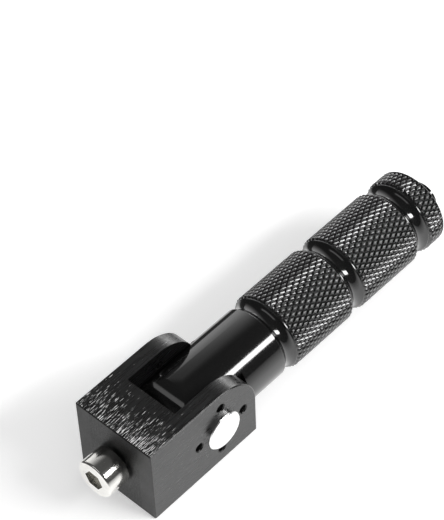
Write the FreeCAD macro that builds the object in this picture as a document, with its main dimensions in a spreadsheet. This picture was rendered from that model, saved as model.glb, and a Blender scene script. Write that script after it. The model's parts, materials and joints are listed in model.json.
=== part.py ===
"""Folding foot peg of a motorcycle: a slotted block with its screw, and a grooved bar that folds.

Lengths are in millimetres and angles in degrees. The origin is the centre of the block face that bolts
to the motorcycle. +X runs from there to the tip of the bar, +Z is the side that the bar folds to, and Y
runs along the pivot pin, with the head of the pin on the -Y side.
"""
import FreeCAD, Part
import math
import os
from types import SimpleNamespace

import Sketcher
from FreeCAD import Vector

SIZES = {
    # block
    "block_width": 30.0,             # across both ears
    "block_height": 30.0,            # also sets the round of the ears, which has the pin as its centre
    "pivot_reach": 29.0,             # mounting face to pivot pin
    "slot_width": 19.0,
    "slot_clearance": 1.5,           # end of the tongue to the floor of the slot
    "edge_break": 0.3,
    "click_radius": 9.4,             # pivot to the small click holes
    "click_hole_diameter": 3.0,
    "click_hole_count": 4,           # one at each quarter turn
    # mounting screw
    "screw_diameter": 8.0,
    "thread_play": 0.05,
    "screw_head_diameter": 13.0,
    "screw_head_height": 8.0,
    "screw_head_round": 0.8,
    "screw_point": 0.8,              # bevel at the end of the thread
    "screw_gap": 1.0,                # under the head: the screw isn't run fully home
    "screw_tip_clearance": 1.0,      # end of the screw to the floor of the slot
    "hex_across_flats": 6.0,
    "hex_depth": 4.0,
    "hex_turn": 4.0,                 # how far the socket is turned about the screw
    # pivot pin and its clip
    "pin_diameter": 9.0,
    "pin_play": 0.05,                # all round the pin, in the ears and in the bar
    "pin_head_diameter": 13.0,
    "pin_head_height": 1.5,
    "pin_head_bevel": 0.3,
    "pin_overhang": 3.6,             # past the ear on the clip side
    "pin_bevel": 1.0,
    "clip_groove_diameter": 7.0,
    "clip_standoff": 0.15,           # ear to the near wall of the clip's groove
    "clip_thickness": 0.9,
    "clip_play": 0.05,               # clip in its groove
    "clip_diameter": 14.3,
    "clip_relief_diameter": 10.2,
    "clip_mouth_angle": 50.0,        # from the middle of the mouth to a prong
    "clip_prong_angle": 82.0,        # where a prong's land ends
    "clip_back_angle": 146.0,        # where the land at the back starts
    "clip_turn": 20.0,               # how far the mouth is turned up from the bar
    # bar: tongue and neck
    "neck_diameter": 25.0,
    "bar_drop": 1.0,                 # axis of the bar below the pivot
    "side_play": 0.15,               # tongue to each ear
    "shoulder_gap": 0.15,            # neck to the front of the ears
    "neck_length": 18.25,            # shoulder to the middle of the first groove
    # bar: grip
    "grip_diameter": 26.6,
    "groove_pitch": 31.3,
    "groove_count": 3,
    "groove_radius": 2.8,
    "groove_floor_diameter": 22.2,
    "end_band": 9.7,                 # middle of the last groove to the corner of the tip
    # bar: knurl
    "knurl_starts": 42,              # diamonds round the bar
    "knurl_depth": 0.55,
    "diamond_length": 3.45,          # wanted length: a band holds a whole number of half diamonds
    "knurl_lip": 0.5,                # plain collar from a groove to the knurl
    "core_sink": 0.05,               # plain core below the valleys
    # bar: tip
    "cone_angle": 60.0,              # between the cone and the bar's axis
    "nub_diameter": 9.4,
    "cove_length": 0.45,
    "cove_radius": 0.8,
    "dome_diameter": 7.8,
    "dome_height": 2.4,
    # click stop in the tongue
    "ball_diameter": 4.0,
    "ball_play": 0.05,
    "spring_diameter": 3.4,
    "spring_wire": 0.5,
    "spring_pitch": 1.4,
    "spring_play": 0.03,             # spring to each ball
}
TOLERANCE = 1e-6
WELL_OUTSIDE = 10.0                  # how far a cutting outline runs past what it cuts


class Size:
    """A number together with the formula of sheet cells that gives it."""

    def __init__(self, value, text):
        self.value = value
        self.text = text

    def __add__(self, other):
        return combine(self, other, "+", lambda a, b: a + b)

    def __radd__(self, other):
        return combine(other, self, "+", lambda a, b: a + b)

    def __sub__(self, other):
        return combine(self, other, "-", lambda a, b: a - b)

    def __rsub__(self, other):
        return combine(other, self, "-", lambda a, b: a - b)

    def __mul__(self, other):
        return combine(self, other, "*", lambda a, b: a * b)

    def __rmul__(self, other):
        return combine(other, self, "*", lambda a, b: a * b)

    def __truediv__(self, other):
        return combine(self, other, "/", lambda a, b: a / b)

    def __neg__(self):
        return combine(0, self, "-", lambda a, b: a - b)


def as_size(thing):
    """A plain number as a Size, or the Size itself."""
    return thing if isinstance(thing, Size) else Size(float(thing), str(thing))


def combine(first, second, sign, work):
    """The Size that an operator makes of two others."""
    first = as_size(first)
    second = as_size(second)
    return Size(work(first.value, second.value), f"({first.text} {sign} {second.text})")


def root(size):
    """Square root of a Size."""
    return Size(math.sqrt(size.value), f"sqrt({size.text})")


def sine(angle):
    """Sine of an angle in degrees."""
    return Size(math.sin(math.radians(angle.value)), f"sin({angle.text})")


def cosine(angle):
    """Cosine of an angle in degrees."""
    return Size(math.cos(math.radians(angle.value)), f"cos({angle.text})")


def polar(radius, angle):
    """The place at a radius and an angle from a sketch's origin."""
    return radius * cosine(angle), radius * sine(angle)


def write_sheet(doc):
    """Put every size in a cell of its own and give the cell the size's name."""
    sheet = doc.addObject("Spreadsheet::Sheet", "Sizes")
    for row, (name, number) in enumerate(SIZES.items(), start=1):
        sheet.set(f"A{row}", name)
        sheet.set(f"B{row}", str(number))
        sheet.setAlias(f"B{row}", name)
    doc.recompute()
    return SimpleNamespace(**{name: Size(float(sheet.get(name)), f"Sizes.{name}") for name in SIZES})


def bind(thing, path, size):
    """Tie a property of an object to the sheet."""
    thing.setExpression(path, as_size(size).text)


def add_body(doc, name, ahead=0):
    """A new body whose own origin lies so far ahead of the mounting face."""
    body = doc.addObject("PartDesign::Body", name)
    body.Label = name
    bind(body, ".Placement.Base.x", ahead)
    return body


def add_sketch(body, name, plane, across=0, up=0, turn=0, out=0):
    """A sketch on an origin plane of the body, moved and turned in that plane and moved off it."""
    sketch = body.newObject("Sketcher::SketchObject", name)
    support = next(item for item in body.Origin.OriginFeatures if item.Role == plane)
    sketch.AttachmentSupport = [(support, "")]
    sketch.MapMode = "FlatFace"
    bind(sketch, "AttachmentOffset.Base.x", across)
    bind(sketch, "AttachmentOffset.Base.y", up)
    bind(sketch, "AttachmentOffset.Base.z", out)
    bind(sketch, "AttachmentOffset.Rotation.Angle", turn)
    return sketch


def fix_point(sketch, geometry, position, across, up):
    """Hold a point of a sketch at its two sizes, measured from the sketch's origin."""
    for size, kind, axis in ((as_size(across), "DistanceX", -2), (as_size(up), "DistanceY", -1)):
        if abs(size.value) < TOLERANCE:
            sketch.addConstraint(Sketcher.Constraint("PointOnObject", geometry, position, axis))
            continue
        held = sketch.addConstraint(Sketcher.Constraint(kind, -1, 1, geometry, position, size.value))
        bind(sketch, f"Constraints[{held}]", size)


def arc_between(start, end, radius, clockwise):
    """The shorter arc from start to end, turning the way that is asked for."""
    middle = (start + end) / 2
    chord = end - start
    to_centre = math.sqrt(max(radius ** 2 - (chord.Length / 2) ** 2, 0.0))
    left = Vector(-chord.y, chord.x, 0).normalize()
    centre = middle + left * (-to_centre if clockwise else to_centre)
    first, last = (end, start) if clockwise else (start, end)
    angles = [math.atan2(point.y - centre.y, point.x - centre.x) for point in (first, last)]
    return Part.ArcOfCircle(Part.Circle(centre, Vector(0, 0, 1), radius), *angles)


def draw_outline(sketch, corners):
    """Draw a closed outline. A corner is (across, up), or (across, up, radius) where an arc leads to it.

    A negative radius turns clockwise.
    """
    places = [Vector(as_size(corner[0]).value, as_size(corner[1]).value, 0) for corner in corners]
    edges = []
    for index, corner in enumerate(corners):
        start = places[index - 1]
        end = places[index]
        if len(corner) == 2:
            geometry = sketch.addGeometry(Part.LineSegment(start, end))
            edges.append((geometry, 1, 2))
            continue
        clockwise = corner[2].value < 0
        geometry = sketch.addGeometry(arc_between(start, end, abs(corner[2].value), clockwise))
        edges.append((geometry, 2, 1) if clockwise else (geometry, 1, 2))
        held = sketch.addConstraint(Sketcher.Constraint("Radius", geometry, abs(corner[2].value)))
        bind(sketch, f"Constraints[{held}]", -corner[2] if clockwise else corner[2])
    for index, (geometry, start, end) in enumerate(edges):
        following, its_start, its_end = edges[(index + 1) % len(edges)]
        sketch.addConstraint(Sketcher.Constraint("Coincident", geometry, end, following, its_start))
        fix_point(sketch, geometry, end, corners[index][0], corners[index][1])


def draw_circle(sketch, across, up, diameter):
    """Draw a circle and hold its centre and its diameter."""
    centre = Vector(as_size(across).value, as_size(up).value, 0)
    geometry = sketch.addGeometry(Part.Circle(centre, Vector(0, 0, 1), diameter.value / 2))
    fix_point(sketch, geometry, 3, across, up)
    held = sketch.addConstraint(Sketcher.Constraint("Diameter", geometry, diameter.value))
    bind(sketch, f"Constraints[{held}]", diameter)


def settle(body, feature, sketch):
    """Recompute a new feature, and stop if its sketch can't be solved or it leaves the body as it was."""
    body.Tip = feature
    body.Document.recompute()
    if sketch.solve() != 0:
        raise RuntimeError(f"{sketch.Name} can't be solved")
    base = feature.BaseFeature
    if base is not None and abs(feature.Shape.Volume - base.Shape.Volume) < TOLERANCE:
        raise RuntimeError(f"{feature.Name} changes nothing")
    return feature


def pad(body, sketch, length):
    """Raise an outline to a length, half to each side."""
    feature = body.newObject("PartDesign::Pad", f"{sketch.Name}_pad")
    feature.Profile = sketch
    feature.SideType = "Symmetric"
    bind(feature, "Length", length)
    return settle(body, feature, sketch)


def cut_through(body, sketch):
    """Cut an outline through the whole body, to both sides."""
    feature = body.newObject("PartDesign::Pocket", f"{sketch.Name}_cut")
    feature.Profile = sketch
    feature.SideType = "Symmetric"
    feature.Type = "ThroughAll"
    return settle(body, feature, sketch)


def turn(body, sketch, axis, cutting=False):
    """Turn an outline about an axis of its sketch, as material or as a cut."""
    kind = "Groove" if cutting else "Revolution"
    feature = body.newObject(f"PartDesign::{kind}", f"{sketch.Name}_turned")
    feature.Profile = sketch
    feature.ReferenceAxis = (sketch, [axis])
    feature.Angle = 360
    return settle(body, feature, sketch)


def is_outer_corner(solid, edge):
    """Whether the material at an edge stands out, neither smooth nor an inner corner."""
    reach = 0.01
    smooth = 0.99
    place = edge.valueAt((edge.FirstParameter + edge.LastParameter) / 2)
    normals = []
    for face in solid.ancestorsOfType(edge, Part.Face):
        normals.append(face.normalAt(*face.Surface.parameter(place)))
    if len(normals) != 2 or normals[0].dot(normals[1]) > smooth:
        return False
    return not solid.isInside(place + (normals[0] - normals[1]) * reach, TOLERANCE, False)


def break_edges(body, size, is_wanted):
    """Bevel the outer corners that is_wanted picks from the body."""
    base = body.Tip
    solid = base.Shape
    names = [f"Edge{number}" for number, edge in enumerate(solid.Edges, start=1)
             if is_wanted(edge) and is_outer_corner(solid, edge)]
    feature = body.newObject("PartDesign::Chamfer", f"{body.Name}_edges")
    feature.Base = (base, names)
    bind(feature, "Size", size)
    body.Tip = feature
    body.Document.recompute()


def derive(s):
    """Places and sizes that several pieces share, worked out from the sheet."""
    neck_radius = s.neck_diameter / 2
    ear_reach = s.block_height / 2
    tongue_radius = neck_radius - s.bar_drop
    return SimpleNamespace(
        ear_reach=ear_reach,                                   # pivot to the front of the ears
        tongue_radius=tongue_radius,                           # pivot to the end of the tongue
        heel_radius=neck_radius + s.bar_drop,                  # pivot level to the underside of the bar
        tongue_half=s.slot_width / 2 - s.side_play,
        shoulder=ear_reach + s.shoulder_gap,                   # pivot to the shoulder of the bar
        slot_floor=s.pivot_reach - tongue_radius - s.slot_clearance,
        bore_diameter=s.pin_diameter + 2 * s.pin_play,
        ball_hole_diameter=s.ball_diameter + 2 * s.ball_play,
        ball_centre=s.slot_width / 2 - s.side_play - s.ball_diameter / 2,
        first_groove=ear_reach + s.shoulder_gap + s.neck_length,
        core_radius=s.grip_diameter / 2 - s.knurl_depth - s.core_sink,
    )


def make_block(doc, s, d):
    """Square block with two ears: round on the fold side, square on the other to stop the bar."""
    body = add_body(doc, "clevis_block")
    half_height = s.block_height / 2
    half_width = s.block_width / 2
    front = s.pivot_reach + d.ear_reach

    side = add_sketch(body, "block_side", "XZ_Plane")
    draw_outline(side, [(0, -half_height), (front, -half_height), (front, 0),
                        (s.pivot_reach, half_height, d.ear_reach), (0, half_height)])
    pad(body, side, s.block_width)

    slot = add_sketch(body, "slot", "XY_Plane")
    half_slot = s.slot_width / 2
    draw_outline(slot, [(d.slot_floor, -half_slot), (front + WELL_OUTSIDE, -half_slot),
                        (front + WELL_OUTSIDE, half_slot), (d.slot_floor, half_slot)])
    cut_through(body, slot)

    bore = add_sketch(body, "pin_bore", "XZ_Plane")
    draw_circle(bore, s.pivot_reach, 0, d.bore_diameter)
    cut_through(body, bore)

    click = add_sketch(body, "click_hole", "XZ_Plane", across=s.pivot_reach)
    draw_circle(click, s.click_radius, 0, s.click_hole_diameter)
    first_click = cut_through(body, click)
    ring = body.newObject("PartDesign::PolarPattern", "click_ring")
    ring.Originals = [first_click]
    ring.Axis = (click, ["N_Axis"])
    ring.Angle = 360
    bind(ring, "Occurrences", s.click_hole_count)
    settle(body, ring, click)

    thread = add_sketch(body, "threaded_hole", "XY_Plane")
    radius = s.screw_diameter / 2
    draw_outline(thread, [(0, 0), (0, radius + 2 * s.edge_break), (2 * s.edge_break, radius),
                          (d.slot_floor, radius), (d.slot_floor, 0)])
    turn(body, thread, "H_Axis", cutting=True)

    def is_broken(edge):
        """Whole circles are broken on the two sides only, and the edges of the slot stay sharp."""
        centre = edge.CenterOfMass
        if edge.Closed:
            return abs(abs(centre.y) - half_width.value) < TOLERANCE
        is_in_slot_width = abs(centre.y) < half_slot.value + TOLERANCE
        return not (is_in_slot_width and centre.x > d.slot_floor.value - TOLERANCE)

    break_edges(body, s.edge_break, is_broken)
    return body


def half_mouth(s, radius):
    """Half the length of a groove where its walls reach a radius."""
    depth = s.groove_floor_diameter / 2 + s.groove_radius - radius
    return root(s.groove_radius * s.groove_radius - depth * depth)


def grip_outline(s, d):
    """Corners of the grooved core of the grip, from the neck to the last groove."""
    neck_radius = s.neck_diameter / 2
    corners = []
    for number in range(int(s.groove_count.value)):
        middle = d.first_groove + number * s.groove_pitch
        before = neck_radius if number == 0 else d.core_radius
        corners += [(middle - half_mouth(s, before), before),
                    (middle, s.groove_floor_diameter / 2, s.groove_radius),
                    (middle + half_mouth(s, d.core_radius), d.core_radius, s.groove_radius)]
    return corners


def tip_outline(s, d, corner):
    """Corners of the cone, the cove and the domed nub, where the grip's edge would be at the corner."""
    grip_radius = s.grip_diameter / 2
    nub_radius = s.nub_diameter / 2
    slope = cosine(s.cone_angle) / sine(s.cone_angle)
    rim = corner + (grip_radius - nub_radius) * slope
    dome_radius = s.dome_diameter / 2
    cap_radius = (dome_radius * dome_radius + s.dome_height * s.dome_height) / (2 * s.dome_height)
    dome_start = rim + s.cove_length
    return [(corner + (grip_radius - d.core_radius) * slope, d.core_radius),
            (rim, nub_radius),
            (dome_start, dome_radius, s.cove_radius),
            (dome_start + s.dome_height, 0, -cap_radius)]


def knurl_rings(s, start, end, is_tapered):
    """Rings of places round the bar, crest and valley in turn, one ring for each half diamond."""
    crest = s.grip_diameter.value / 2
    valley = crest - s.knurl_depth.value
    sides = 2 * int(s.knurl_starts.value)
    rows = max(1, round(2 * (end - start) / s.diamond_length.value))
    rings = []
    for row in range(rows + 1):
        top = valley if is_tapered and row == rows else crest
        ring = []
        for side in range(sides):
            radius = valley if (row + side) % 2 else top
            angle = 2 * math.pi * side / sides
            ring.append(Vector(start + (end - start) * row / rows,
                               radius * math.cos(angle), radius * math.sin(angle)))
        rings.append(ring)
    return rings


def flat_face(places):
    """A flat face with straight edges."""
    return Part.Face(Part.makePolygon([*places, places[0]]))


def make_knurl(doc, s, name, start, end, is_tapered):
    """A band of diamonds round the bar: four flat facets rise to each crest from the valley lines.

    A tapered band sinks to its valleys at its last ring.
    """
    rings = knurl_rings(s, start, end, is_tapered)
    faces = [flat_face(rings[0]), flat_face(rings[-1])]
    for row, (near, far) in enumerate(zip(rings, rings[1:])):
        for side in range(len(near)):
            following = (side + 1) % len(near)
            if (row + side) % 2:
                faces += [flat_face((near[side], near[following], far[following])),
                          flat_face((near[side], far[following], far[side]))]
            else:
                faces += [flat_face((near[side], near[following], far[side])),
                          flat_face((near[following], far[following], far[side]))]
    shell = Part.Shell(faces)
    shell.sewShape()
    solid = Part.Solid(shell)
    if solid.Volume < 0:
        solid.reverse()
    band = doc.addObject("Part::Feature", name)
    band.Label = name
    band.Shape = solid
    band.Placement = FreeCAD.Placement(Vector(s.pivot_reach.value, 0, -s.bar_drop.value), FreeCAD.Rotation())
    return band


def make_bar(doc, s, d):
    """The bar: what is turned and milled, joined with the knurled bands between its grooves."""
    groove_count = int(s.groove_count.value)
    mouth = half_mouth(s, d.core_radius) + s.knurl_lip
    pieces = [make_turned_bar(doc, s, d)]
    for number in range(groove_count):
        middle = d.first_groove + number * s.groove_pitch
        is_last = number == groove_count - 1
        end = middle + s.end_band if is_last else middle + s.groove_pitch - mouth
        pieces.append(make_knurl(doc, s, f"knurl_{number + 1}", (middle + mouth).value, end.value, is_last))
    bar = doc.addObject("Part::MultiFuse", "peg_bar")
    bar.Label = "peg_bar"
    bar.Shapes = pieces
    bar.Refine = False
    return bar


def make_turned_bar(doc, s, d):
    """One turned bar: tongue with two flats, neck, grooved core of the grip and pointed tip."""
    body = add_body(doc, "turned_bar", ahead=s.pivot_reach)
    neck_radius = s.neck_diameter / 2
    start = -(d.tongue_radius + 1)
    last_groove = d.first_groove + (s.groove_count - 1) * s.groove_pitch

    turned = add_sketch(body, "bar_profile", "XZ_Plane", up=-s.bar_drop)
    draw_outline(turned, [(start, 0), (start, neck_radius), *grip_outline(s, d),
                          *tip_outline(s, d, last_groove + s.end_band)])
    turn(body, turned, "H_Axis")

    flats = add_sketch(body, "tongue_flat", "XY_Plane")
    past = neck_radius + WELL_OUTSIDE
    draw_outline(flats, [(-past, d.tongue_half), (d.shoulder, d.tongue_half), (d.shoulder, past),
                         (-past, past)])
    draw_outline(flats, [(-past, -past), (d.shoulder, -past), (d.shoulder, -d.tongue_half),
                         (-past, -d.tongue_half)])
    cut_through(body, flats)

    heel = d.heel_radius - d.tongue_radius
    rounding = add_sketch(body, "tongue_round", "XZ_Plane")
    draw_outline(rounding, [(0, past), (-past, past), (-past, -past), (heel, -past),
                            (heel, -d.heel_radius), (-d.tongue_radius, 0, -d.heel_radius),
                            (0, d.tongue_radius, -d.tongue_radius)])
    cut_through(body, rounding)

    bore = add_sketch(body, "pivot_bore", "XZ_Plane")
    draw_circle(bore, 0, 0, d.bore_diameter)
    cut_through(body, bore)

    cross_hole = add_sketch(body, "ball_hole", "XZ_Plane")
    draw_circle(cross_hole, s.click_radius, 0, d.ball_hole_diameter)
    cut_through(body, cross_hole)
    return body


def make_pin(doc, s):
    """Pivot pin: flat head at one end, clip groove and bevel at the other."""
    body = add_body(doc, "pivot_pin", ahead=s.pivot_reach)
    ear = s.block_width / 2
    head = s.pin_head_diameter / 2
    radius = s.pin_diameter / 2
    groove = s.clip_groove_diameter / 2
    head_top = -(ear + s.pin_head_height)
    groove_start = ear + s.clip_standoff
    groove_end = groove_start + s.clip_thickness + 2 * s.clip_play
    end = ear + s.pin_overhang

    turned = add_sketch(body, "pin_profile", "XY_Plane")
    draw_outline(turned, [(0, head_top), (head - s.pin_head_bevel, head_top),
                          (head, head_top + s.pin_head_bevel), (head, -ear), (radius, -ear),
                          (radius, groove_start), (groove, groove_start), (groove, groove_end),
                          (radius, groove_end), (radius, end - s.pin_bevel),
                          (radius - s.pin_bevel, end), (0, end)])
    turn(body, turned, "V_Axis")
    return body


def make_clip(doc, s):
    """E-shaped retaining clip: two prongs and a back land that touch the groove of the pin."""
    body = add_body(doc, "retaining_clip", ahead=s.pivot_reach)
    outer = s.clip_diameter / 2
    inner = s.clip_groove_diameter / 2 + s.clip_play
    relief = s.clip_relief_diameter / 2
    mouth = s.clip_mouth_angle
    prong = s.clip_prong_angle
    back = s.clip_back_angle
    middle = s.block_width / 2 + s.clip_standoff + s.clip_play + s.clip_thickness / 2

    flat = add_sketch(body, "clip_outline", "XZ_Plane", turn=s.clip_turn, out=-middle)
    draw_outline(flat, [polar(outer, mouth), (-outer, 0, outer), (*polar(outer, -mouth), outer),
                        polar(inner, -mouth), (*polar(inner, -prong), -inner),
                        polar(relief, -prong), (*polar(relief, -back), -relief),
                        polar(inner, -back), (-inner, 0, -inner), (*polar(inner, back), -inner),
                        polar(relief, back), (*polar(relief, prong), -relief),
                        polar(inner, prong), (*polar(inner, mouth), -inner)])
    pad(body, flat, s.clip_thickness)
    return body


def make_screw(doc, s, d):
    """Socket head screw in the back of the block, a little short of fully home."""
    body = add_body(doc, "mounting_screw", ahead=-s.screw_gap)
    head = s.screw_head_diameter / 2
    radius = s.screw_diameter / 2 - s.thread_play
    length = s.screw_gap + d.slot_floor - s.screw_tip_clearance

    turned = add_sketch(body, "screw_profile", "XY_Plane")
    draw_outline(turned, [(-s.screw_head_height, 0), (-s.screw_head_height, head - s.screw_head_round),
                          (s.screw_head_round - s.screw_head_height, head, -s.screw_head_round),
                          (0, head), (0, radius), (length - s.screw_point, radius),
                          (length, radius - s.screw_point), (length, 0)])
    turn(body, turned, "H_Axis")

    corner_radius = s.hex_across_flats / math.sqrt(3)
    socket = add_sketch(body, "hex_socket", "YZ_Plane", turn=s.hex_turn, out=-s.screw_head_height)
    draw_outline(socket, [polar(corner_radius, as_size(60 * number)) for number in range(6)])
    feature = body.newObject("PartDesign::Pocket", "hex_socket_cut")
    feature.Profile = socket
    feature.Reversed = True
    bind(feature, "Length", s.hex_depth)
    settle(body, feature, socket)
    return body


def make_ball(doc, s, d, name, side):
    """Click ball in the cross hole of the tongue, pressed in flush with the flat."""
    ball = doc.addObject("Part::Sphere", name)
    ball.Label = name
    bind(ball, "Radius", s.ball_diameter / 2)
    bind(ball, ".Placement.Base.x", s.pivot_reach + s.click_radius)
    bind(ball, ".Placement.Base.y", side * d.ball_centre)
    return ball


def make_spring(doc, s, d):
    """Coil spring that pushes the two click balls apart."""
    body = add_body(doc, "click_spring", ahead=s.pivot_reach + s.click_radius)
    coil = (s.spring_diameter - s.spring_wire) / 2
    touch = (s.ball_diameter + s.spring_wire) / 2 + s.spring_play
    half_length = d.ball_centre - root(touch * touch - coil * coil)

    wire = add_sketch(body, "spring_wire", "XY_Plane")
    draw_circle(wire, coil, -half_length, s.spring_wire)
    feature = body.newObject("PartDesign::AdditiveHelix", "spring_coil")
    feature.Profile = wire
    feature.ReferenceAxis = (wire, ["V_Axis"])
    feature.Mode = "pitch-height-angle"
    bind(feature, "Pitch", s.spring_pitch)
    bind(feature, "Height", 2 * half_length)
    settle(body, feature, wire)
    return body


def check_document(doc, parts):
    """Stop if any object failed or any piece isn't one sound solid."""
    for thing in doc.Objects:
        if {"Invalid", "Error"} & set(thing.State):
            raise RuntimeError(f"{thing.Name} failed: {thing.State}")
    for piece in parts:
        shape = piece.Shape
        if shape.isNull() or not shape.isValid() or len(shape.Solids) != 1:
            raise RuntimeError(f"{piece.Label} isn't one sound solid")


def main():
    """Build the document and write one file for each piece."""
    doc = FreeCAD.newDocument("foot_peg")
    s = write_sheet(doc)
    d = derive(s)
    parts = [make_block(doc, s, d), make_bar(doc, s, d), make_pin(doc, s), make_clip(doc, s),
             make_screw(doc, s, d), make_ball(doc, s, d, "click_ball_left", 1),
             make_ball(doc, s, d, "click_ball_right", -1), make_spring(doc, s, d)]
    doc.recompute()
    check_document(doc, parts)
    os.makedirs("parts", exist_ok=True)
    for piece in parts:
        box = piece.Shape.optimalBoundingBox()
        print(f"{piece.Label}: x {box.XMin:.2f} to {box.XMax:.2f}, y {box.YMin:.2f} to {box.YMax:.2f}, "
              f"z {box.ZMin:.2f} to {box.ZMax:.2f}, {piece.Shape.Volume:.0f} cubic millimetres")
        piece.Shape.exportStep(f"parts/{piece.Label}.step")


main()
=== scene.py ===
"""Looks of a folding foot peg: anodised block and bar, knurled grip, plated pin, clip and screw.

Lengths are in metres. The origin is the centre of the block's mounting face, +X runs to the tip of the
bar, +Z is the side that the bar folds to, and the head of the pivot pin is on the -Y side.
"""

import json
import logging
import math
from dataclasses import dataclass, field
from enum import Enum
from typing import Any

import bmesh
import bpy
from mathutils import Matrix, Vector

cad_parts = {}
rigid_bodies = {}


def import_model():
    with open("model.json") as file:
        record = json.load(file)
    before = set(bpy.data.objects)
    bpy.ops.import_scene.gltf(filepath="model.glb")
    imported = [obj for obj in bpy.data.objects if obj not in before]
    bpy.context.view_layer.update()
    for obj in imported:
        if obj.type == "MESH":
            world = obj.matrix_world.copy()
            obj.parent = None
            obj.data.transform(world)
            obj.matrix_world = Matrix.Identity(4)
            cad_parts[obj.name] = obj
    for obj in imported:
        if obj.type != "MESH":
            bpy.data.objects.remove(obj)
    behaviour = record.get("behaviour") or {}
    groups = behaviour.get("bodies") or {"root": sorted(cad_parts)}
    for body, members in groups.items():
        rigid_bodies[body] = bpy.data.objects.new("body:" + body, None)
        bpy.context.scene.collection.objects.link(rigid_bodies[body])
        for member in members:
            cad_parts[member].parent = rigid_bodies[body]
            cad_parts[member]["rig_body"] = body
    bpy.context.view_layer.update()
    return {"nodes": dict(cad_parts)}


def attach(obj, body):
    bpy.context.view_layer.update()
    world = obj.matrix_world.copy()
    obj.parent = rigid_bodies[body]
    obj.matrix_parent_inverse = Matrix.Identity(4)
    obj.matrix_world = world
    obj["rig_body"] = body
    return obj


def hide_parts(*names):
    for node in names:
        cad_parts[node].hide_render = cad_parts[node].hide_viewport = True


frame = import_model()

LOG = logging.getLogger("foot_peg")
MM = 0.001
PHOTO_WIDTH = 444

# Corners that lie closer than these are one: after a cut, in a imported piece, in the knurl and in the thread.
CUT_WELD = 2e-6
PACKED_WELD = 1e-6
KNURL_WELD = 2e-5
THREAD_WELD = 1e-5

# A place closer to the axis than this lies on it.
ON_AXIS = 1e-7

# From this angle on, in degrees, an edge is a corner and stays sharp.
CORNER_ANGLE = 28.0

# Nearly all of a noise lies in this range. The other number is how strong its finer layers are.
NOISE_RANGE = (0.3, 0.7)
NOISE_ROUGHNESS = 0.6


class Cut(Enum):
    """What one solid does to another."""

    REMOVE = "DIFFERENCE"
    ADD = "UNION"
    KEEP_SHARED = "INTERSECT"


class Ray(Enum):
    """Kinds of ray that the floor and the sky tell apart."""

    CAMERA = "Is Camera Ray"
    GLOSSY = "Is Glossy Ray"
    TRANSMISSION = "Is Transmission Ray"


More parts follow.
